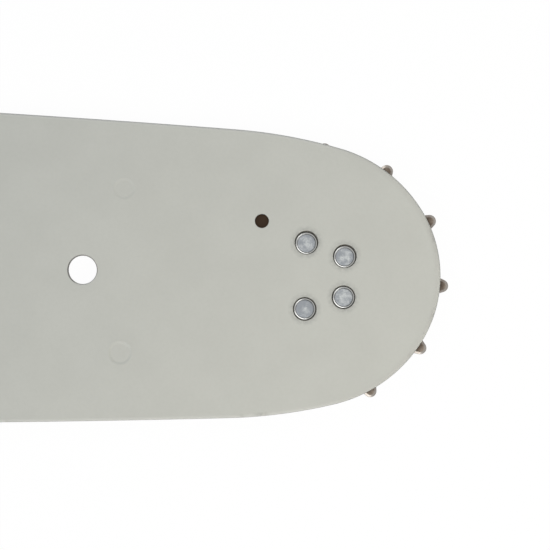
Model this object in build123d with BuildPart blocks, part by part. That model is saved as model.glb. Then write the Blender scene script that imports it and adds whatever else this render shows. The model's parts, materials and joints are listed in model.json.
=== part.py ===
from build123d import *
import math
import os

# A laminated chainsaw guide bar with a sprocket nose. It lies flat: +X runs along the bar to the nose,
# +Y across it and +Z through its thickness. The origin is under the middle of the bar, on the surface
# that it lies on. Lengths are in millimetres and angles in degrees.

# Plates: two side plates carry the rails, and the narrower core plate between them leaves the chain groove
side_thickness = 1.5
groove_width = 1.6
groove_depth = 8.6
rail_edge_break = 0.25

# Outline of a rail from the nose to the tail, as tangent arcs and a straight taper. A slope is the angle
# between the rail and the bar's axis where one arc ends. The long belly arc fills the length that is left
nose_radius = 26.9
nose_sweep = 34.0
front_shoulder_radius = 30.6
front_shoulder_slope = 14.8
rear_shoulder_radius = 112.0
rear_shoulder_slope = 2.97
belly_slope = 2.4
heel_radius = 250.0
tail_taper = 4.6
taper_length = 114.0
tail_reach = 442.0
tail_corner_radius = 9.0
core_tail_setback = 0.5
core_corner_radius = 2.0

# Holes of the nose and body, placed from the sprocket's axis
grease_hole_diameter = 3.0
grease_hole_distance = 16.5
grease_hole_angle = 135.8
hang_hole_diameter = 6.1
hang_hole_distance = 50.1

# Holes of the tail, placed from its end: the slot for the saw's studs, the holes for the chain tensioner's
# pin, and the oil feed, which leads to the groove through a slit in the core plate
stud_slot_width = 8.2
stud_slot_length = 76.0
stud_slot_inset = 14.0
tensioner_hole_diameter = 7.5
tensioner_hole_inset = 32.0
tensioner_hole_offset = 12.0
oil_hole_diameter = 4.5
oil_hole_inset = 62.0
oil_hole_offset = 15.0
oil_slit_width = 3.0

# Nose sprocket: teeth with straight flanks and rounded tips that stand proud of the rails, and gaps with a
# round root
tooth_count = 12
tooth_phase = -2.8
tooth_proud = 1.9
tooth_tip_round = 1.35
tooth_flank_angle = 22.0
tooth_root_round = 2.0
sprocket_side_clearance = 0.1
sprocket_pocket_clearance = 1.0

# Roller bearing between the sprocket and its fixed race, filled with as many rollers as the gap allows
race_radius = 10.6
roller_diameter = 3.4
roller_gap = 0.15
bearing_clearance = 0.05

# Rivets, on a circle of five places: the one that faces the tail stays empty
rivet_places = 5
rivet_circle_radius = 7.5
rivet_shank_radius = 2.0
rivet_head_radius = 2.17
rivet_proud = 0.15
rivet_sink_radius = 2.5
rivet_sink_angle = 90.0
rivet_fit = 0.05

# Heights through the bar, and the place of the sprocket's axis
core_bottom = rivet_proud + side_thickness
core_top = core_bottom + groove_width
middle = (core_bottom + core_top) / 2
tooth_tip_radius = nose_radius + tooth_proud
tooth_tip_centre = tooth_tip_radius - tooth_tip_round
nose_reach = tooth_tip_centre * math.cos(math.radians(tooth_phase)) + tooth_tip_round
axis_x = (tail_reach - nose_reach) / 2
sprocket_thickness = groove_width - 2 * sprocket_side_clearance

# Sizes of the bearing and of the rivets' holes
roller_circle_radius = race_radius + bearing_clearance + roller_diameter / 2
bore_radius = roller_circle_radius + roller_diameter / 2 + bearing_clearance
roller_half_pitch = math.asin((roller_diameter + roller_gap) / 2 / roller_circle_radius)
roller_count = int(math.pi / roller_half_pitch)
rivet_hole_radius = rivet_shank_radius + rivet_fit
rivet_step = 360 / rivet_places
rivet_count = rivet_places - 1

# Planes on the sprocket's axis: the two faces of the core plate, and the underside of sprocket and rollers
top_seat = Plane((axis_x, 0, core_top))
bottom_seat = Plane((axis_x, 0, core_bottom), x_dir=(1, 0, 0), z_dir=(0, 0, -1))
core_plane = Plane((axis_x, 0, core_bottom))
sprocket_plane = Plane((axis_x, 0, core_bottom + sprocket_side_clearance))


def arc_run(radius, start_slope, end_slope):
    """Length along the bar of an arc that turns from one slope to another."""
    return radius * (math.sin(math.radians(start_slope)) - math.sin(math.radians(end_slope)))


def rail_outline(inset, setback):
    """Closed outline of a plate whose rails lie inside the bar's by inset, and its tail by setback."""
    with BuildLine() as outline:
        nose = JernArc((nose_radius - inset, 0), (0, 1), nose_radius - inset, nose_sweep)
        front_turn = 90 - nose_sweep - front_shoulder_slope
        front = JernArc(nose @ 1, nose % 1, front_shoulder_radius - inset, front_turn)
        rear_turn = front_shoulder_slope - rear_shoulder_slope
        rear = JernArc(front @ 1, front % 1, rear_shoulder_radius - inset, rear_turn)
        shoulder_run = (
            arc_run(nose_radius, 90, 90 - nose_sweep)
            + arc_run(front_shoulder_radius, 90 - nose_sweep, front_shoulder_slope)
            + arc_run(rear_shoulder_radius, front_shoulder_slope, rear_shoulder_slope)
        )
        heel_run = arc_run(heel_radius, tail_taper, belly_slope)
        belly_run = nose_radius + tail_reach - shoulder_run - heel_run - taper_length
        belly_radius = belly_run / arc_run(1, rear_shoulder_slope, -belly_slope)
        belly = JernArc(rear @ 1, rear % 1, belly_radius - inset, rear_shoulder_slope + belly_slope)
        heel = JernArc(belly @ 1, belly % 1, heel_radius - inset, tail_taper - belly_slope)
        run = (heel @ 1).X + tail_reach - setback
        taper = Line(heel @ 1, heel @ 1 + (heel % 1) * (run / math.cos(math.radians(tail_taper))))
        mirror(about=Plane.XZ)
        Line(taper @ 1, ((taper @ 1).X, -(taper @ 1).Y))
    return outline.edges()


def tail_places(inset, offset):
    """Two places beside the bar's axis, inset from the tail's end."""
    return [(inset - tail_reach, side * offset) for side in (-1, 1)]


def rivet_locations():
    """The places of the rivets round the sprocket's axis, for use as a context."""
    return PolarLocations(
        rivet_circle_radius,
        rivet_count,
        start_angle=rivet_step - 180,
        angular_range=(rivet_count - 1) * rivet_step,
        endpoint=True,
    )


def cut_through_holes():
    """Cuts the holes that every plate has: stud slot, tensioner holes and hang hole."""
    with Locations((stud_slot_inset + stud_slot_length / 2 - tail_reach, 0)):
        SlotOverall(stud_slot_length, stud_slot_width, mode=Mode.SUBTRACT)
    with Locations(*tail_places(tensioner_hole_inset, tensioner_hole_offset)):
        Circle(tensioner_hole_diameter / 2, mode=Mode.SUBTRACT)
    with Locations((-hang_hole_distance, 0)):
        Circle(hang_hole_diameter / 2, mode=Mode.SUBTRACT)


def side_plate(seat):
    """A side plate with its inner face on the seat. Both are one pressing, the lower one turned over."""
    with BuildPart() as plate:
        with BuildSketch(seat) as blank:
            make_face(rail_outline(0, 0))
            fillet(blank.vertices().group_by(Axis.X)[0], tail_corner_radius)
            cut_through_holes()
            with Locations(*tail_places(oil_hole_inset, oil_hole_offset)):
                Circle(oil_hole_diameter / 2, mode=Mode.SUBTRACT)
            with PolarLocations(grease_hole_distance, 1, start_angle=grease_hole_angle):
                Circle(grease_hole_diameter / 2, mode=Mode.SUBTRACT)
        extrude(amount=side_thickness)
        outer_face = plate.faces().sort_by(Axis(seat.origin, seat.z_dir))[-1]
        chamfer(outer_face.outer_wire().edges(), rail_edge_break)
        with Locations(seat.offset(side_thickness)):
            with rivet_locations():
                CounterSinkHole(rivet_hole_radius, rivet_sink_radius, side_thickness, rivet_sink_angle)
    return plate


# Side plates
top_side_plate = side_plate(top_seat)
bottom_side_plate = side_plate(bottom_seat)

# Core plate: it ends at the nose in a round pocket for the sprocket
with BuildPart() as core_plate:
    with BuildSketch(core_plane) as core_blank:
        make_face(rail_outline(groove_depth, core_tail_setback))
        fillet(core_blank.vertices().group_by(Axis.X)[0], core_corner_radius)
        slit_length = core_blank.sketch_local.bounding_box().size.Y / 2
        cut_through_holes()
        for side in (-1, 1):
            with Locations((oil_hole_inset - tail_reach, side * (oil_hole_offset + slit_length / 2))):
                Rectangle(oil_slit_width, slit_length, mode=Mode.SUBTRACT)
        Circle(tooth_tip_radius + sprocket_pocket_clearance, mode=Mode.SUBTRACT)
    extrude(amount=groove_width)

# Nose sprocket: one tooth from gap to gap, repeated round the axis
tooth_half_pitch = 180 / tooth_count
flank = math.radians(tooth_flank_angle)
half_pitch = math.radians(tooth_half_pitch)
flank_meet = tooth_tip_round / math.cos(flank) + tooth_tip_centre * math.tan(flank)
gap_point = flank_meet / (math.tan(half_pitch) + math.tan(flank)) / math.cos(half_pitch)
root_radius = gap_point + tooth_root_round / math.sin(flank + half_pitch) - tooth_root_round
with BuildLine() as tooth:
    root = JernArc(
        Vector(root_radius, 0).rotate(Axis.Z, -tooth_half_pitch),
        Vector(0, 1).rotate(Axis.Z, -tooth_half_pitch),
        tooth_root_round,
        tooth_half_pitch + tooth_flank_angle - 90,
    )
    tip = JernArc(
        Vector(tooth_tip_centre, 0) + Vector(math.sin(flank), -math.cos(flank)) * tooth_tip_round,
        Vector(math.cos(flank), math.sin(flank)),
        tooth_tip_round,
        180 - 2 * tooth_flank_angle,
    )
    lower_flank = Line(root @ 1, tip @ 0)
    mirror(root, about=Plane.XZ)
    mirror(lower_flank, about=Plane.XZ)
with BuildPart() as nose_sprocket:
    with BuildSketch(sprocket_plane.rotated((0, 0, tooth_phase))):
        with BuildLine():
            with PolarLocations(0, tooth_count):
                add(tooth.line)
        make_face()
        Circle(bore_radius, mode=Mode.SUBTRACT)
    extrude(amount=sprocket_thickness)

# Bearing race: a disc clamped between the side plates
with BuildPart() as bearing_race:
    with BuildSketch(core_plane):
        Circle(race_radius)
        with rivet_locations():
            Circle(rivet_hole_radius, mode=Mode.SUBTRACT)
    extrude(amount=groove_width)

# Rivet: a shank, and at each end a head spread into the side plate's countersink, proud of its face
outer_face_height = groove_width / 2 + side_thickness
sink_taper = math.tan(math.radians(rivet_sink_angle / 2))
shank_end = outer_face_height - (rivet_sink_radius - rivet_hole_radius) / sink_taper
rivet_end = outer_face_height + rivet_proud
with BuildPart() as rivet:
    with BuildSketch(Plane.XZ):
        with BuildLine():
            Polyline(
                (0, -rivet_end),
                (rivet_head_radius, -rivet_end),
                (rivet_shank_radius, -shank_end),
                (rivet_shank_radius, shank_end),
                (rivet_head_radius, rivet_end),
                (0, rivet_end),
                close=True,
            )
        make_face()
    revolve(axis=Axis.Z)
with BuildPart() as nose_rivets:
    with Locations((axis_x, 0, middle)):
        with rivet_locations():
            add(rivet.part)

# The pieces are written one file each
os.makedirs("parts", exist_ok=True)
top_side_plate.part.label = "top_side_plate"
export_step(top_side_plate.part, "parts/top_side_plate.step")
core_plate.part.label = "core_plate"
export_step(core_plate.part, "parts/core_plate.step")
bottom_side_plate.part.label = "bottom_side_plate"
export_step(bottom_side_plate.part, "parts/bottom_side_plate.step")
nose_sprocket.part.label = "nose_sprocket"
export_step(nose_sprocket.part, "parts/nose_sprocket.step")
bearing_race.part.label = "bearing_race"
export_step(bearing_race.part, "parts/bearing_race.step")
nose_rivets.part.label = "nose_rivets"
export_step(nose_rivets.part, "parts/nose_rivets.step")

# Rollers, evenly spaced round the race
for index in range(roller_count):
    with BuildPart() as roller:
        with BuildSketch(sprocket_plane.rotated((0, 0, 360 * index / roller_count))):
            with Locations((roller_circle_radius, 0)):
                Circle(roller_diameter / 2)
        extrude(amount=sprocket_thickness)
    roller.part.label = f"roller_{index + 1:02d}"
    export_step(roller.part, f"parts/roller_{index + 1:02d}.step")
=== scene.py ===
"""A painted guide bar for a chainsaw, dressed over its solids. Lengths are in metres, in the part's own frame."""

import json
import math

import bpy
import numpy as np
from mathutils.geometry import delaunay_2d_cdt
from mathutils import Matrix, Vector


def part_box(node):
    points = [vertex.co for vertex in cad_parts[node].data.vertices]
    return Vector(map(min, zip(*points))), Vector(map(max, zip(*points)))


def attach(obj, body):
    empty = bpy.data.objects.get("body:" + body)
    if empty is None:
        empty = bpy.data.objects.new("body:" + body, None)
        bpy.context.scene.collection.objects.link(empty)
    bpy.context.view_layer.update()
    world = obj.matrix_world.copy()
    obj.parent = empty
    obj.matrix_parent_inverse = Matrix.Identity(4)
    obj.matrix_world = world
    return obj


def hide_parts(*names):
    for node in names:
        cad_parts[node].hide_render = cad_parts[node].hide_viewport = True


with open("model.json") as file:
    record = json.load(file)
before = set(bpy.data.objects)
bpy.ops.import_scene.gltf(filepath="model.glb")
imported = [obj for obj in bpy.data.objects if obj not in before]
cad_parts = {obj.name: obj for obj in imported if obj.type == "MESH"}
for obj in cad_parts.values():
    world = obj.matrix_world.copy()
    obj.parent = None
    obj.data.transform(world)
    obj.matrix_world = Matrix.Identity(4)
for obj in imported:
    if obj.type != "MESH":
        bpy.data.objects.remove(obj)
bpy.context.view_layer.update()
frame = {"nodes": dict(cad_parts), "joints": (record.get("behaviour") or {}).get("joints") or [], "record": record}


# Core plate: a rolled steel sheet, spot welded between the two side plates. It is narrower than they are,
# so the chain's groove stays open round the edge of the bar. It is left bare and oiled.
def screen_colour(red, green, blue):
    """The linear colour of a screen colour written in steps from 0 to 255."""
    share = np.array([red, green, blue]) / 255
    linear = np.where(share <= 0.04045, share / 12.92, ((share + 0.055) / 1.055) ** 2.4)
    return (*linear.tolist(), 1.0)


def start_finish(name):
    """A new material: itself, its node tree, its shader and the coordinates that are fixed to the piece."""
    material = bpy.data.materials.new(name)
    material.use_nodes = True
    tree = material.node_tree
    place = tree.nodes.new("ShaderNodeTexCoord").outputs["Object"]
    return material, tree, tree.nodes["Principled BSDF"], place


def feed(tree, socket, value):
    """Links a socket to the socket that feeds it, or sets it to a plain value."""
    if isinstance(value, bpy.types.NodeSocket):
        tree.links.new(value, socket)
    else:
        socket.default_value = value


def mottle(tree, place, size, detail=2.0):
    """Soft noise from 0 to 1 in patches about as wide as size."""
    noise = tree.nodes.new("ShaderNodeTexNoise")
    noise.inputs["Scale"].default_value = 1 / size
    noise.inputs["Detail"].default_value = detail
    feed(tree, noise.inputs["Vector"], place)
    return noise.outputs["Fac"]


def rise(tree, value, start, end, low=0.0, high=1.0):
    """A smooth step: low while the value is under start, high once it is past end."""
    step = tree.nodes.new("ShaderNodeMapRange")
    step.interpolation_type = "SMOOTHSTEP"
    names = ("Value", "From Min", "From Max", "To Min", "To Max")
    for name, entry in zip(names, (value, start, end, low, high)):
        feed(tree, step.inputs[name], entry)
    return step.outputs["Result"]


def colour_between(tree, share, first, second):
    """The first colour where the share is 0, the second where it is 1. The node has sockets for numbers and
    vectors too: inputs 0, 6 and 7 and output 2 are those for colours."""
    mix = tree.nodes.new("ShaderNodeMix")
    mix.data_type = "RGBA"
    for socket, entry in ((0, share), (6, first), (7, second)):
        feed(tree, mix.inputs[socket], entry)
    return mix.outputs[2]


def relief(tree, shader, height, depth):
    """Fine unevenness of the surface: the height from 0 to 1 stands for that depth."""
    bump = tree.nodes.new("ShaderNodeBump")
    bump.inputs["Distance"].default_value = depth
    feed(tree, bump.inputs["Height"], height)
    tree.links.new(bump.outputs["Normal"], shader.inputs["Normal"])


def steel_finish(name, dark, light, grain, smooth, rough):
    """Bare steel with patches of a darker and a lighter tone, eight grains wide, and uneven gloss. The grain
    stands a fortieth of its width high."""
    material, tree, shader, place = start_finish(name)
    shader.inputs["Metallic"].default_value = 1.0
    patches = rise(tree, mottle(tree, place, 8 * grain, 4.0), 0.3, 0.7)
    feed(tree, shader.inputs["Base Color"], colour_between(tree, patches, dark, light))
    fine = mottle(tree, place, grain)
    feed(tree, shader.inputs["Roughness"], rise(tree, fine, 0.3, 0.7, smooth, rough))
    relief(tree, shader, fine, grain / 40)
    return material


def wear_finish(node, material):
    """Gives a solid of the frame its finish."""
    surface = frame["nodes"][node].data
    surface.materials.clear()
    surface.materials.append(material)


oiled_steel = steel_finish(
    "oiled_rolled_steel",
    dark=screen_colour(96, 94, 90),
    light=screen_colour(138, 135, 128),
    grain=0.0005,
    smooth=0.32,
    rough=0.5,
)
wear_finish("core_plate", oiled_steel)


# Bearing: a ground race, riveted between the side plates, and the short rollers that run loose round it.
# Both are hardened bearing steel under a film of brown grease.
greased_steel = steel_finish(
    "greased_bearing_steel",
    dark=screen_colour(118, 104, 84),
    light=screen_colour(176, 172, 164),
    grain=0.0003,
    smooth=0.16,
    rough=0.34,
)
wear_finish("bearing_race", greased_steel)
for roller in frame["record"]["behaviour"]["bodies"]["rollers"]:
    wear_finish(roller, greased_steel)


# Nose sprocket: a star stamped from hardened strip, tempered brown, that spins on the rollers between the side
# plates. Only the tips of its teeth stand out past the rails. Stamping and tumbling have bevelled its rims and
# worn them bright. Further in it is dark brown with grease, and the same dark brown is painted shade
# where the side plates' edges shade the teeth beside the rails.
axis_x, axis_y, middle = frame["joints"][0]["pos_m"]
tooth_count = 12
tooth_phase = math.radians(-2.8)
tooth_tip_radius = 0.02872
tooth_tip_round = 0.00135
tooth_flank = math.radians(22)
tooth_root_round = 0.002
tooth_root_points = 12
tooth_tip_points = 24
tooth_run_out = -0.00007 - 0.0001j
sprocket_bore_radius = 0.0141
sprocket_corner_round = 0.00012
corner_points = 6
sprocket_bevel_width = 0.00042
sprocket_bevel_slope = math.radians(23)
# Grease and painted shade: whole inside the first radius and gone past the second, so the teeth darken beside the
# rails.
grease_and_shade_inner = 0.0265
grease_and_shade_outer = 0.0281
sprocket_bottom, sprocket_top = (corner.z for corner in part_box("nose_sprocket"))
temper_dark = screen_colour(121, 110, 99)
temper_light = screen_colour(155, 143, 130)
temper_patch_size = 0.0016
temper_roughness = 0.42
worn_rim = screen_colour(157, 152, 146)
worn_rim_roughness = 0.24
# Dark brown of grease, also used as painted shade under the side plates' edges.
grease_and_shade_brown = screen_colour(67, 54, 44)
stamped_grain_size = 0.0004
stamped_grain_depth = 0.00001


def follow_arcs(*arcs):
    """Points on arcs laid end to end, and the directions off the material there, as complex numbers.
    An arc is its centre, its radius (negative where it bends round empty space), its first and last heading
    and its number of points. A point lies one radius from the centre, square to the heading, on its right."""
    off, points = [], []
    for centre, radius, first, last, count in arcs:
        off.append(-1j * np.exp(1j * np.linspace(first, last, count)))
        points.append(centre + radius * off[-1])
    return np.concatenate(points), np.concatenate(off)


def ring_faces(rows, columns, first=0, closed=False):
    """Quads between neighbouring rows of a grid of points whose columns close into a ring. The rows may too."""
    row = np.arange(rows if closed else rows - 1)[:, None]
    column = np.arange(columns)
    above = (row + 1) % rows * columns
    beside = (column + 1) % columns
    corners = [row * columns + column, row * columns + beside, above + beside, above + column]
    return np.stack(corners, axis=-1).reshape(-1, 4) + first


def make_piece(name, points, patches, material, smooth_angle, **shares):
    """A mesh object at the origin from an array of points and patches of faces, with shares for its points."""
    mesh = bpy.data.meshes.new(name)
    faces = [face for patch in patches for face in patch.tolist()]
    mesh.from_pydata(points.reshape(-1, 3).tolist(), [], faces)
    for share, values in shares.items():
        held = mesh.attributes.new(share, "FLOAT", "POINT")
        held.data.foreach_set("value", values.ravel().astype(np.float32))
    mesh.shade_smooth()
    mesh.set_sharp_from_angle(angle=smooth_angle)
    mesh.materials.append(material)
    piece = bpy.data.objects.new(name, mesh)
    bpy.context.scene.collection.objects.link(piece)
    return piece


def star_outline():
    """The sprocket's outline about its axis: a tooth, as root arc, tip arc and root arc, turned round the axis.
    The straight flanks are the lines between the arcs, and the roots are tangent to them."""
    half_pitch = math.pi / tooth_count
    tip_centre = tooth_tip_radius - tooth_tip_round
    flank_meet = tooth_tip_round / math.cos(tooth_flank) + tip_centre * math.tan(tooth_flank)
    gap_point = flank_meet / (math.tan(half_pitch) + math.tan(tooth_flank)) / math.cos(half_pitch)
    root_centre = gap_point + tooth_root_round / math.sin(tooth_flank + half_pitch)
    before, after = root_centre * np.exp(-1j * half_pitch), root_centre * np.exp(1j * half_pitch)
    square = math.pi / 2
    points, off = follow_arcs(
        (before, -tooth_root_round, square - half_pitch, tooth_flank, tooth_root_points),
        (tip_centre, tooth_tip_round, tooth_flank, math.pi - tooth_flank, tooth_tip_points),
        (after, -tooth_root_round, math.pi - tooth_flank, square + half_pitch, tooth_root_points),
    )
    turns = np.exp(1j * (tooth_phase + 2 * half_pitch * np.arange(tooth_count)))[:, None]
    return (points[:-1] * turns).ravel(), (off[:-1] * turns).ravel()


def star_surface():
    """The sprocket as a closed grid: one way round its outline, the other way up the rim with its rounded
    corner and bevel, in over the top face, down the bore and out again under the bottom face. The bore is
    true to the axis, and the teeth run out of true by a hair, as stamped. The rim's share rises over the
    corner to the bevel. The share of grease and painted shade is whole further in and fades out towards
    the tips, so the teeth darken beside the rails."""
    outline, off = star_outline()
    bore = sprocket_bore_radius * outline / abs(outline)
    outline = outline + tooth_run_out
    turn = np.linspace(0, math.pi / 2 - sprocket_bevel_slope, corner_points)
    corner_inset = sprocket_corner_round * (1 - np.cos(turn))
    corner_drop = sprocket_corner_round * (np.sin(turn[-1]) - np.sin(turn))
    bevel_share = np.array([0.1, 0.9, 1.0])
    bevel_drop = sprocket_bevel_width * math.tan(sprocket_bevel_slope)
    inset = np.append(corner_inset, corner_inset[-1] + sprocket_bevel_width * bevel_share)
    drop = np.append(corner_drop + bevel_drop, bevel_drop * (1 - bevel_share))
    bright = np.append((turn / turn[-1]) ** 3, [1, 1, 0.6])
    land = outline - inset[-1] * off
    inward = (0.004, 0.06, 0.12, 0.18, 0.3, 0.6, 1.0)
    upper_half = [
        (outline - step * off, sprocket_top - low, shine) for step, low, shine in zip(inset, drop, bright)
    ]
    upper_half += [(land + share * (bore - land), sprocket_top, 0.0) for share in inward]
    both_faces = sprocket_bottom + sprocket_top
    lower_half = [(ring, both_faces - height, shine) for ring, height, shine in reversed(upper_half)]
    rings, heights, shines = zip(*(upper_half + lower_half))
    flat = np.array(rings)
    height = np.broadcast_to(np.array(heights)[:, None], flat.shape)
    grid = np.stack([flat.real + axis_x, flat.imag + axis_y, height], axis=-1)
    rim = np.broadcast_to(np.array(shines)[:, None], flat.shape)
    # Share of grease and painted shade: whole further in, fading out towards the tips.
    grease = np.interp(abs(flat), (grease_and_shade_inner, grease_and_shade_outer), (1, 0))
    return grid, {"rim": rim, "grease": grease}


def combine(tree, operation, *values):
    """Values joined by a product or another operation."""
    join = tree.nodes.new("ShaderNodeMath")
    join.operation = operation
    for socket, value in zip(join.inputs, values):
        feed(tree, socket, value)
    return join.outputs[0]


def point_share(tree, name):
    """The share by that name that the mesh holds for its points."""
    reader = tree.nodes.new("ShaderNodeAttribute")
    reader.attribute_name = name
    return reader.outputs["Fac"]


def tempered_finish():
    """Hardened steel with a brown temper colour in patches, worn pale along the rims, and dark brown further
    in: grease, and painted shade of the side plates' edges on the teeth beside the rails.
    """
    material, tree, shader, place = start_finish("tempered_sprocket_steel")
    shader.inputs["Metallic"].default_value = 1.0
    rim = point_share(tree, "rim")
    patches = rise(tree, mottle(tree, place, temper_patch_size, 3.0), 0.35, 0.65)
    temper = colour_between(tree, patches, temper_dark, temper_light)
    grain = mottle(tree, place, stamped_grain_size, 3.0)
    bright = combine(tree, "MULTIPLY", rim, rise(tree, grain, 0.25, 0.65, 0.5, 1.0))
    worn = colour_between(tree, bright, temper, worn_rim)
    # Grease and painted shade: dark brown further in and beside the rails.
    greased_and_shaded = colour_between(tree, point_share(tree, "grease"), worn, grease_and_shade_brown)
    feed(tree, shader.inputs["Base Color"], greased_and_shaded)
    gloss = rise(tree, rim, 0.0, 1.0, temper_roughness, worn_rim_roughness)
    feed(tree, shader.inputs["Roughness"], gloss)
    relief(tree, shader, grain, stamped_grain_depth)
    return material


star_grid, star_shares = star_surface()
star_faces = ring_faces(*star_grid.shape[:2], closed=True)
star = make_piece(
    "star_sprocket", star_grid, [star_faces], tempered_finish(), smooth_angle=math.radians(30), **star_shares
)
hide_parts("nose_sprocket")
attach(star, "sprocket")


# Side plates: two like pressings of spring steel, the lower one turned over, spot welded to the core plate.
# Their flats are sprayed with a light grey paint that stops at the ground rails and at the walls of the holes.
nose_radius = 0.0269
nose_sweep = math.radians(34)
front_shoulder_radius = 0.0306
front_shoulder_slope = math.radians(14.8)
rear_shoulder_radius = 0.112
rear_shoulder_slope = math.radians(2.97)
belly_slope = math.radians(2.4)
heel_radius = 0.25
tail_taper = math.radians(4.6)
taper_length = 0.114
tail_reach = 0.442
tail_corner_radius = 0.009
tail_corner_points = 25
rail_arc_points = (41, 41, 61, 61, 9)
rail_edge_round = 0.0004
edge_band = 0.0012
rail_nicks = np.array(
    [0.02507 - 0.00798j, 0.02453 + 0.00858j, 0.02076 - 0.01627j, -0.01514 - 0.0301j, -0.01095 - 0.0298j]
)
rail_nick_reach = np.array([0.0016, 0.003, 0.0009, 0.0009, 0.0014])
hole_edge_round = 0.00008
hole_points = 64
grease_hole_radius = 0.00147
grease_hole_place = 0.0165 * np.exp(1j * math.radians(135.8))
hang_hole_radius = 0.00308
hang_hole_place = -0.05013
hang_hole_edge_round = 0.00024
# Painted light and shade round the hang hole's edge: its rounding is painted pale on the side facing this way and
# left as dark bare steel on the side in shade.
hang_hole_lit_side = 0.8 * np.exp(1j * math.radians(115))
tensioner_hole_radius = 0.00375
tensioner_hole_place = 0.032 - tail_reach + 0.012j
oil_hole_radius = 0.00225
oil_hole_place = 0.062 - tail_reach + 0.015j
stud_slot_width = 0.0082
stud_slot_length = 0.076
stud_slot_inset = 0.014
slot_end_points = 33
rivet_circle_radius = 0.0075
rivet_turns = np.radians([-108, -36, 36, 108])
rivet_hole_radius = 0.0022
rivet_sink_radius = 0.00256
rivet_sink_drifts = np.array([0.00019 - 0.00002j, 0.00008 - 0.00002j, 0.00013, 0.0002])
weld_mark_radii = (0.00212, 0.00235)
weld_mark_depths = (0.00007, 0.00014)
weld_mark_offset = 0.01764
weld_mark_first = -0.0416
weld_mark_pitch = 0.06
weld_mark_count = 6
weld_mark_drift = 0.0003
weld_mark_points = 48
plate_bottom, plate_top = (corner.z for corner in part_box("top_side_plate"))
plate_thickness = plate_top - plate_bottom
paint_grey = screen_colour(185.2, 186, 180)
paint_pale_grey = screen_colour(188.2, 189, 183)
paint_blotch_size = 0.009
paint_speck_grey = screen_colour(172, 174, 166)
paint_grain_size = 0.0007
paint_grain_depth = 0.000006
paint_roughness = 0.5
# Painted sheen: a paler grey along the sides' edges, for light caught by the rounded rails.
side_edge_sheen_grey = screen_colour(191.5, 192, 186.5)
# Painted shade: a darker grey near the rails round the nose.
nose_edge_shade_grey = screen_colour(183.5, 184, 178)
nose_run = 0.014
# A darker grey in a ring on the paint beside the rivets.
halo_grey = screen_colour(112, 114, 112)
flake_size = 0.0032
rail_steel_dark = screen_colour(108, 107, 104)
rail_steel_light = screen_colour(146, 144, 139)
rail_steel_metallic = 0.9
rail_steel_roughness = 0.4
edge_polish = 0.7
grinding_line_length = 0.004
grinding_line_fineness = 30.0
# Painted shade: dark dull steel in the countersinks round the rivet heads.
sink_shade_grey = screen_colour(86, 85, 80)


def arc_run(radius, start_slope, end_slope):
    """Length along the bar of an arc that turns from one slope to another."""
    return radius * (math.sin(start_slope) - math.sin(end_slope))


def rail_outline():
    """The bar's outline about the sprocket's axis: tangent arcs from the nose over the shoulders, the long
    belly and the heel, a straight taper, a round corner at the tail, and the same mirrored. A tangent arc's
    centre lies on the line from the last centre to the point where they meet."""
    front = math.pi / 2 - nose_sweep
    spent = arc_run(nose_radius, math.pi / 2, front)
    spent += arc_run(front_shoulder_radius, front, front_shoulder_slope)
    spent += arc_run(rear_shoulder_radius, front_shoulder_slope, rear_shoulder_slope)
    spent += arc_run(heel_radius, tail_taper, belly_slope) + taper_length
    belly_radius = (nose_radius + tail_reach - spent) / arc_run(1, rear_shoulder_slope, -belly_slope)
    radii = [nose_radius, front_shoulder_radius, rear_shoulder_radius, belly_radius, heel_radius]
    slopes = [math.pi / 2, front, front_shoulder_slope, rear_shoulder_slope, -belly_slope, -tail_taper]
    chain, centre = [], 0
    for index, (radius, count) in enumerate(zip(radii, rail_arc_points)):
        first, last = math.pi - slopes[index], math.pi - slopes[index + 1]
        if index:
            centre += (radii[index - 1] - radius) * -1j * np.exp(1j * first)
        chain.append((centre, radius, first, last, count))
    heading = np.exp(1j * (math.pi + tail_taper))
    corner = centre + (heel_radius - tail_corner_radius) * -1j * heading
    corner += heading * (tail_corner_radius - tail_reach - corner.real) / heading.real
    chain.append((corner, tail_corner_radius, math.pi + tail_taper, 1.5 * math.pi, tail_corner_points))
    points, off = follow_arcs(*chain)
    seams = np.cumsum(rail_arc_points)[:-1]
    points, off = np.delete(points, seams), np.delete(off, seams)
    return np.append(points, points[:0:-1].conj()), np.append(off, off[:0:-1].conj())


def round_hole(radius, centre, count=hole_points):
    """The edge of a round hole, run clockwise, so that its empty side is on the right."""
    points, off = follow_arcs((centre, -radius, math.pi, -math.pi, count + 1))
    return points[:-1], off[:-1]


def stud_slot():
    """The edge of the slot for the saw's studs: two half circles joined by straight sides, run clockwise."""
    radius = stud_slot_width / 2
    tail_end = stud_slot_inset - tail_reach + radius
    nose_end = tail_end + stud_slot_length - stud_slot_width
    return follow_arcs(
        (nose_end, -radius, 0, -math.pi, slot_end_points), (tail_end, -radius, math.pi, 0, slot_end_points)
    )


def edge_profile(rounding, wear):
    """The edge of a plate as rows of depth into the material, drop below the face, paint, sink and halo, and
    edge: up the wall, round the edge in a quarter circle and in over the face. With no wear the paint ends
    at the face."""
    turn = np.linspace(0, math.pi / 2, corner_points)
    depth, drop = rounding * (1 - np.cos(turn)), rounding * (1 - np.sin(turn))
    cover = np.sin(turn) * wear
    cover[-1] = 1
    rows = [(0, plate_thickness, 0, 0, wear)]
    rows += [(*row, 0, wear) for row in zip(depth, drop, cover)]
    rows += [(rounding + edge_band / 3, 0, 1, 0, wear / 2), (rounding + edge_band, 0, 1, 0, 0)]
    return np.array(rows)


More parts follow.
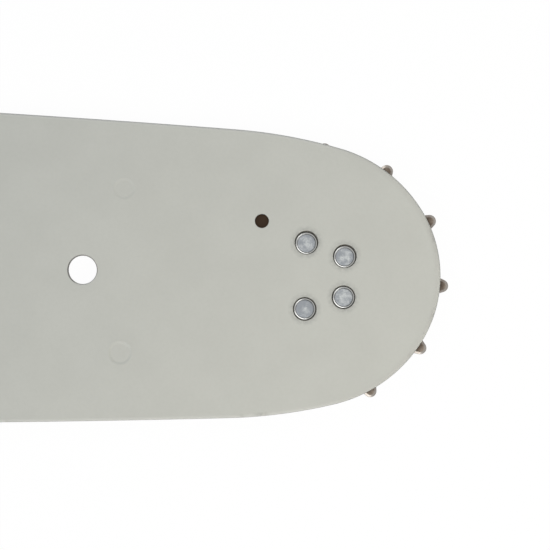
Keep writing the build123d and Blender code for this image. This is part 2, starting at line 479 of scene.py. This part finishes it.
def sink_profile():
    """The edge of a rivet's hole in the same rows: wall and countersink, whose sink and halo share gives them
    a painted shade in the recess, and a darker ring on the paint that fades out beside it."""
    sink = rivet_sink_radius - rivet_hole_radius
    rim = hole_edge_round
    rows = [(0, plate_thickness, 0, 1, 0), (0, sink, 0, 1, 0), (sink - rim, rim, 0, 1, 0)]
    rows += [(sink, rim / 4, 0.5, 1, 0), (sink + rim, 0, 1, 1, 0)]
    rows += [(sink + edge_band * share, 0, 1, 1 - share, 0) for share in (0.35, 0.7, 1.0)]
    return np.array(rows)


def weld_profile(radius, depth):
    """The mark of a spot weld under the paint in the same rows: a flat dent, a soft wall that follows a logistic
    step, and a low lip round it that follows a bell curve, in shares of the mark's radius and depth."""
    across = np.linspace(-0.96, 0.3, 22)
    wall_place, wall_steepness = -0.05, 32
    lip_place, lip_width, lip_height = 0.13, 0.09, 0.35
    wall = 1 / (1 + np.exp(-(across - wall_place) * wall_steepness))
    lip = lip_height * np.exp(-(((across - lip_place) / lip_width) ** 2))
    rows = np.zeros((len(across), 5))
    rows[:, 0] = across * radius
    rows[:, 1] = depth * (1 - wall - lip)
    rows[:, 2] = 1
    rows[-1, 1] = 0
    return rows


def carry_profile(points, off, profile, painted_lit_side):
    """Carries an edge profile round an outline: each row is the outline moved into the material by the row's
    depth, at the row's height. Returns the grid of points and their shares of paint, sink and halo, edge
    and nick. Where the edge faces the given lit side, more of it is painted: painted light and shade, with
    pale paint on the side that faces the light and bare dark steel on the side in shade. A nick fades in
    a bell curve."""
    flat = points - profile[:, :1] * off
    height = np.broadcast_to(plate_top - profile[:, 1:2], flat.shape)
    held = np.broadcast_to(profile[:, 2:, None], (len(profile), 3, len(points)))
    # Painted light and shade: pale paint where the edge faces the lit side.
    facing = np.maximum((off * np.conj(painted_lit_side)).real, 0)
    paint = held[:, 0] + (1 - held[:, 0]) * facing
    nick = np.exp(-((abs(points[:, None] - rail_nicks) / rail_nick_reach) ** 2)).sum(axis=1)
    shares = np.stack([paint, held[:, 1], held[:, 2], np.broadcast_to(nick, flat.shape)], axis=-1)
    return np.stack([flat.real + axis_x, flat.imag + axis_y, height], axis=-1), shares


def fill_between(points, loops, upward):
    """Triangles that fill the flat region inside the first closed loop of points and outside the others, all
    facing up or all facing down. A triangle with its three corners on one hole lies in the hole and goes."""
    order = np.concatenate(loops)
    sizes = [len(loop) for loop in loops]
    ranks = np.split(np.arange(len(order)), np.cumsum(sizes)[:-1])
    edges = np.concatenate([np.stack([rank, np.roll(rank, -1)], axis=1) for rank in ranks])
    flat = [Vector(place) for place in points[order, :2].tolist()]
    inside_loops, merge_distance = 1, 1e-8
    triangles, kept = delaunay_2d_cdt(flat, edges.tolist(), [], inside_loops, merge_distance)[2:4]
    triangles = np.array(kept)[:, 0][np.array(triangles)]
    loop = np.repeat(np.arange(len(loops)), sizes)[triangles]
    in_a_hole = (loop[:, 0] > 0) & (loop == loop[:, :1]).all(axis=1)
    triangles = order[triangles[~in_a_hole]]
    return triangles if upward else triangles[:, ::-1]


def plate_surface():
    """A side plate with its painted face up: an edge profile carried round the outline and round each hole,
    dents for the weld marks, and flat faces filled between them."""
    tail_pair = [(tensioner_hole_radius, tensioner_hole_place), (oil_hole_radius, oil_hole_place)]
    plain_holes = [(grease_hole_radius, grease_hole_place), *tail_pair]
    plain_holes += [(radius, place.conjugate()) for radius, place in tail_pair]
    hang_hole = round_hole(hang_hole_radius, hang_hole_place)
    rivet_places = rivet_sink_drifts + rivet_circle_radius * np.exp(1j * rivet_turns)
    through = [(rail_outline(), edge_profile(rail_edge_round, 1), 0)]
    through += [(stud_slot(), edge_profile(hole_edge_round, 0), 0)]
    through += [(hang_hole, edge_profile(hang_hole_edge_round, 0), hang_hole_lit_side)]
    through += [(round_hole(*hole), edge_profile(hole_edge_round, 0), 0) for hole in plain_holes]
    through += [(round_hole(rivet_hole_radius, place), sink_profile(), 0) for place in rivet_places]
    weld_turn = np.arange(weld_mark_count)
    weld_row = weld_mark_first - weld_mark_pitch * weld_turn + 1j * weld_mark_drift * np.sin(2 * weld_turn)
    dents = []
    for side, radius, depth in zip((1j, -1j), weld_mark_radii, weld_mark_depths):
        row = weld_row + side * weld_mark_offset
        profile = weld_profile(radius, depth)
        dents += [(round_hole(radius, place, weld_mark_points), profile, 0) for place in row]
    points, shares, patches, face_loops, inner_loops, dent_loops = [], [], [], [], [], []
    used = 0
    for (edge, off), profile, painted_lit_side in through + dents:
        grid, held = carry_profile(edge, off, profile, painted_lit_side)
        rows, columns = grid.shape[:2]
        first_row = np.arange(columns) + used
        patches.append(ring_faces(rows, columns, used))
        face_loops.append(first_row + (rows - 1) * columns)
        (dent_loops if len(inner_loops) == len(through) else inner_loops).append(first_row)
        points.append(grid.reshape(-1, 3))
        shares.append(held.reshape(-1, 4))
        used += rows * columns
    points, shares = np.concatenate(points), np.concatenate(shares)
    patches += [fill_between(points, face_loops, True), fill_between(points, inner_loops, False)]
    patches += [fill_between(points, [loop], True) for loop in dent_loops]
    return points, patches, dict(zip(("paint", "smudge", "edge", "nick"), shares.T))


def paint_finish():
    """Light grey paint, faintly blotched and with a fine orange peel, over steel with grinding lines. Beside the
    rails it has a paler painted sheen along the sides and a darker painted shade round the nose. It thins
    out round the edges, where chips and nicks let the steel show. It is darker in a ring beside the rivets,
    and in their countersinks the steel is dull and dark, a painted shade in the recess."""
    material, tree, shader, place = start_finish("grey_bar_paint")
    paint, smudge, edge, nick = (point_share(tree, name) for name in ("paint", "smudge", "edge", "nick"))
    blotch = rise(tree, mottle(tree, place, paint_blotch_size, 5.0), 0.3, 0.7)
    grey = colour_between(tree, blotch, paint_grey, paint_pale_grey)
    grain = mottle(tree, place, paint_grain_size, 3.0)
    grey = colour_between(tree, rise(tree, grain, 0.3, 0.75, 0.0, 0.12), grey, paint_speck_grey)
    along = tree.nodes.new("ShaderNodeSeparateXYZ")
    tree.links.new(place, along.inputs["Vector"])
    side = rise(tree, along.outputs["X"], axis_x, axis_x + nose_run, 1.0, 0.0)
    # Painted sheen: paler paint near the rails along the sides.
    painted_edge_sheen = combine(tree, "MULTIPLY", rise(tree, edge, 0.55, 1.0), side)
    grey = colour_between(tree, painted_edge_sheen, grey, side_edge_sheen_grey)
    # Painted shade: darker paint near the rails round the nose.
    front = rise(tree, along.outputs["X"], axis_x, axis_x + nose_run)
    painted_nose_shade = combine(tree, "MULTIPLY", rise(tree, edge, 0.0, 0.5), front)
    grey = colour_between(tree, painted_nose_shade, grey, nose_edge_shade_grey)
    # Darker in a ring on the paint beside the rivets.
    dirt = combine(tree, "MULTIPLY", smudge, rise(tree, grain, 0.2, 0.7, 0.1, 0.4))
    grey = colour_between(tree, dirt, grey, halo_grey)
    flaked = rise(tree, mottle(tree, place, flake_size, 6.0), 0.68, 0.76, 0.0, 0.3)
    nicked = combine(tree, "MULTIPLY", nick, rise(tree, grain, 0.3, 0.65, 0.12, 0.45))
    chipped = combine(tree, "MAXIMUM", flaked, nicked)
    chipped = combine(tree, "MULTIPLY", rise(tree, edge, 0.3, 1.0), chipped)
    cover = combine(tree, "SUBTRACT", rise(tree, paint, 0.35, 0.65), chipped)
    drawn_out = tree.nodes.new("ShaderNodeMapping")
    drawn_out.inputs["Scale"].default_value = (1.0, 1.0, grinding_line_fineness)
    tree.links.new(place, drawn_out.inputs["Vector"])
    lines = rise(tree, mottle(tree, drawn_out.outputs["Vector"], grinding_line_length, 4.0), 0.3, 0.7)
    steel = colour_between(tree, lines, rail_steel_dark, rail_steel_light)
    # Painted shade: dark steel in the countersinks.
    steel = colour_between(tree, smudge, steel, sink_shade_grey)
    feed(tree, shader.inputs["Base Color"], colour_between(tree, cover, steel, grey))
    dull = combine(tree, "MAXIMUM", cover, smudge)
    feed(tree, shader.inputs["Metallic"], rise(tree, dull, 0.0, 1.0, rail_steel_metallic, 0.0))
    gloss = rise(tree, dull, 0.0, 1.0, rail_steel_roughness, paint_roughness)
    polish = rise(tree, edge, 0.3, 1.0, 1.0, edge_polish)
    feed(tree, shader.inputs["Roughness"], combine(tree, "MULTIPLY", gloss, polish))
    relief(tree, shader, grain, paint_grain_depth)
    return material


plate_points, plate_patches, plate_shares = plate_surface()
turned_over = plate_points * (1, -1, -1) + (0, 2 * axis_y, 2 * middle)
grey_paint = paint_finish()
for name, node, points in (
    ("upper_painted_plate", "top_side_plate", plate_points),
    ("lower_painted_plate", "bottom_side_plate", turned_over),
):
    plate = make_piece(
        name, points, plate_patches, grey_paint, smooth_angle=math.radians(40), **plate_shares
    )
    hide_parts(node)
    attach(plate, "bar")


# Nose rivets: steel pins through both side plates and the race, zinc plated, with their ends spread into the
# countersinks by a ring punch, which leaves a bright rolled lip round a dull, faintly pitted face.
rivet_shank_radius = 0.002
rivet_head_radius = 0.0023
rivet_lip_outer = 0.00224
rivet_lip_inner = 0.00204
rivet_lip_slope = math.radians(23)
rivet_groove_radius = 0.00197
rivet_groove_drop = 0.00013
rivet_face_radius = 0.0019
rivet_face_drop = 0.00008
rivet_head_shifts = np.array(
    [0.00023 - 0.00004j, 0.00012 - 0.00007j, 0.00012 - 0.00019j, 0.00023 - 0.00022j]
)
rivet_tones = np.array([-0.5, 0.3, -0.05, -0.15])
rivet_ring_points = 64
rivet_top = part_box("nose_rivets")[1].z
zinc_dull = screen_colour(146, 150, 154)
zinc_pale = screen_colour(192, 195, 194)
zinc_pale_weight = 0.22
zinc_patch_size = 0.0009
zinc_pit_weight = 0.5
zinc_pit_size = 0.00025
zinc_pit_depth = 0.000012
zinc_roughness = 0.5
rolled_lip = screen_colour(166, 166, 164)
rolled_lip_roughness = 0.25
# Painted shade in the groove inside the lip and round the head's edge.
ring_shade_grey = screen_colour(66, 66, 63)


def rivet_surface():
    """The rivets as grids: one way round the axis, the other way from the middle of the lower face, over its
    lip, up the shank and over the upper lip to the middle of the upper face. The lip is a cone, and the heads
    sit a little to one side of their holes, as the punch left them. A row of the profile holds radius, height,
    lip, ring darkening (painted shade in the groove and round the head's edge) and pale."""
    sink = plate_top - (rivet_sink_radius - rivet_hole_radius)
    lip_radius = rivet_lip_outer - (rivet_lip_outer - rivet_lip_inner) * np.array([0, 0.1, 0.9, 1])
    lip_height = rivet_top - (lip_radius - rivet_lip_inner) * math.tan(rivet_lip_slope)
    head_height = lip_height[0] - (rivet_head_radius - rivet_lip_outer)
    groove_height = rivet_top - rivet_groove_drop
    # Ring darkening is painted shade: whole down the shank, round the head's edge and in the groove, half at the
    # face's edge.
    rows = [(rivet_shank_radius, middle, 0, 1, 0), (rivet_shank_radius, sink, 0, 1, 0)]
    rows += [(rivet_head_radius, head_height, 0, 1, 0)]
    rows += [(radius, height, 1, 0, 0) for radius, height in zip(lip_radius, lip_height)]
    rows += [(rivet_groove_radius, groove_height, 0, 1, 0), (rivet_face_radius, groove_height, 0, 0.5, 0)]
    for share in (0.95, 0.8, 0.6, 0.4, 0.2, 0.06):
        rows.append((rivet_face_radius * share, rivet_top - rivet_face_drop, 0, 0, 1 - share))
    upper = np.array(rows).T
    lower = upper[:, :0:-1].copy()
    lower[1] = 2 * middle - lower[1]
    radius, height, lip, dirt, pale = np.concatenate([lower, upper], axis=1)
    round_about = np.linspace(0, 2 * math.pi, rivet_ring_points, endpoint=False)
    centre = rivet_circle_radius * np.exp(1j * rivet_turns)[:, None, None]
    lean = np.where(height > middle, rivet_head_shifts[:, None], rivet_head_shifts[::-1, None].conj())
    lean *= np.interp(abs(height - middle), (sink - middle, rivet_top - middle), (0, 1))
    flat = centre + lean[..., None] + radius[:, None] * np.exp(1j * round_about)
    grid = np.broadcast_arrays(flat.real + axis_x, flat.imag + axis_y, height[:, None])
    shares = {"lip": lip, "dirt": dirt, "pale": rivet_tones[:, None] + pale}
    shares = {name: np.broadcast_to(share[..., None], flat.shape) for name, share in shares.items()}
    return np.stack(grid, axis=-1), shares


def zinc_finish():
    """Zinc plating: a dull blue grey with pale pressed patches on the face, bright where the lip is rolled,
    and darker in the rings beside it: painted shade in the groove inside the lip and round the head's edge."""
    material, tree, shader, place = start_finish("zinc_plated_rivet")
    shader.inputs["Metallic"].default_value = 1.0
    lip, dirt, pale = (point_share(tree, name) for name in ("lip", "dirt", "pale"))
    patches = mottle(tree, place, zinc_patch_size, 4.0)
    pressed = combine(tree, "MULTIPLY_ADD", pale, zinc_pale_weight, patches)
    pits = mottle(tree, place, zinc_pit_size, 3.0)
    pitted = combine(tree, "MULTIPLY_ADD", pits, zinc_pit_weight, pressed)
    colour = colour_between(tree, rise(tree, pitted, 0.65, 1.2), zinc_dull, zinc_pale)
    colour = colour_between(tree, lip, colour, rolled_lip)
    # Painted shade in the rings beside the lip.
    feed(tree, shader.inputs["Base Color"], colour_between(tree, dirt, colour, ring_shade_grey))
    gloss = rise(tree, lip, 0.0, 1.0, zinc_roughness, rolled_lip_roughness)
    feed(tree, shader.inputs["Roughness"], gloss)
    relief(tree, shader, pits, zinc_pit_depth)
    return material


rivet_points, rivet_shares = rivet_surface()
rivet_count, rivet_rows, rivet_columns = rivet_points.shape[:3]
rivet_patches = []
for index in range(rivet_count):
    first = index * rivet_rows * rivet_columns
    rivet_patches.append(ring_faces(rivet_rows, rivet_columns, first))
    ring = np.arange(rivet_columns)[None] + first
    rivet_patches += [ring[:, ::-1], ring + (rivet_rows - 1) * rivet_columns]
rivets = make_piece(
    "rivet_heads", rivet_points, rivet_patches, zinc_finish(), smooth_angle=math.radians(50), **rivet_shares
)
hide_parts("nose_rivets")
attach(rivets, "bar")


# Studio: a white table under the bar, long soft boxes to its left and in front of it, a small warm lamp by the
# nose and an even sky whose falling light is a little blue. The table and the sky show plain white, and the
# table keeps a faint shadow. The camera looks straight down on the nose.
white = (1.0, 1.0, 1.0, 1.0)
table_half_width = 6.0
table_colour = (0.95, 0.95, 0.95, 1.0)
table_roughness = 0.9
table_glow = 0.975
sky_level = 0.23
sky_colour = (0.8, 1.0, 1.3, 1.0)
picture_middle = np.array([axis_x - 0.00871, axis_y - 0.00003, plate_top])
picture_width = 0.1183
picture_turn = math.radians(1.493)
camera_height = 2.0


def seen_directly(tree):
    """1 for what the camera sees straight, in a reflection or through glass, and 0 for light that only falls."""
    path = tree.nodes.new("ShaderNodeLightPath").outputs
    straight = combine(tree, "MAXIMUM", path["Is Camera Ray"], path["Is Glossy Ray"])
    return combine(tree, "MAXIMUM", straight, path["Is Transmission Ray"])


table_mesh = bpy.data.meshes.new("table")
table_corners = table_half_width * np.array([(-1, -1, 0), (1, -1, 0), (1, 1, 0), (-1, 1, 0)])
table_mesh.from_pydata(table_corners.tolist(), [], [(0, 1, 2, 3)])
table = bpy.data.objects.new("table", table_mesh)
bpy.context.scene.collection.objects.link(table)
white_table, tree, shader = start_finish("white_table")[:3]
shader.inputs["Base Color"].default_value = table_colour
shader.inputs["Roughness"].default_value = table_roughness
glow = tree.nodes.new("ShaderNodeEmission")
cover = tree.nodes.new("ShaderNodeMixShader")
feed(tree, cover.inputs[0], combine(tree, "MULTIPLY", seen_directly(tree), table_glow))
tree.links.new(shader.outputs[0], cover.inputs[1])
tree.links.new(glow.outputs[0], cover.inputs[2])
tree.links.new(cover.outputs[0], tree.nodes["Material Output"].inputs["Surface"])
table_mesh.materials.append(white_table)

sky = bpy.data.worlds.new("white_sky")
sky.use_nodes = True
bpy.context.scene.world = sky
tree = sky.node_tree
background = tree.nodes["Background"]
seen = seen_directly(tree)
feed(tree, background.inputs["Color"], colour_between(tree, seen, sky_colour, white))
feed(tree, background.inputs["Strength"], rise(tree, seen, 0.0, 1.0, sky_level, 1.0))


def soft_lamp(name, place, size, watts, colour, mirrored):
    """A flat lamp that faces the middle of the picture, placed from there, mirrored in bright metal or not."""
    light = bpy.data.lights.new(name, "AREA")
    light.shape = "RECTANGLE"
    light.size, light.size_y = size
    light.energy = watts
    light.color = colour
    lamp = bpy.data.objects.new(name, light)
    lamp.location = picture_middle + place
    lamp.rotation_euler = (-Vector(place)).to_track_quat("-Z", "Y").to_euler()
    lamp.visible_camera = False
    lamp.visible_glossy = mirrored
    bpy.context.scene.collection.objects.link(lamp)


soft_lamp(
    "left_soft_box",
    place=(-0.763, 0.847, 1.1),
    size=(0.95, 0.36),
    watts=3.0,
    colour=(1.0, 1.0, 1.0),
    mirrored=True,
)
soft_lamp(
    "front_soft_box",
    place=(-0.635, -0.942, 1.1),
    size=(2.3, 0.42),
    watts=9.5,
    colour=(1.0, 1.0, 1.0),
    mirrored=True,
)
soft_lamp(
    "nose_lamp",
    place=(0.138, -0.1, 0.36),
    size=(0.2, 0.2),
    watts=0.94,
    colour=(1.1, 1.0, 0.82),
    mirrored=False,
)

bpy.context.scene.view_settings.view_transform = "Standard"
camera_data = bpy.data.cameras.new("camera")
camera_data.lens = camera_data.sensor_width * camera_height / picture_width
camera = bpy.data.objects.new("camera", camera_data)
camera.location = picture_middle + (0, 0, camera_height)
camera.rotation_euler = (0, 0, picture_turn)
bpy.context.scene.collection.objects.link(camera)
bpy.context.scene.camera = camera
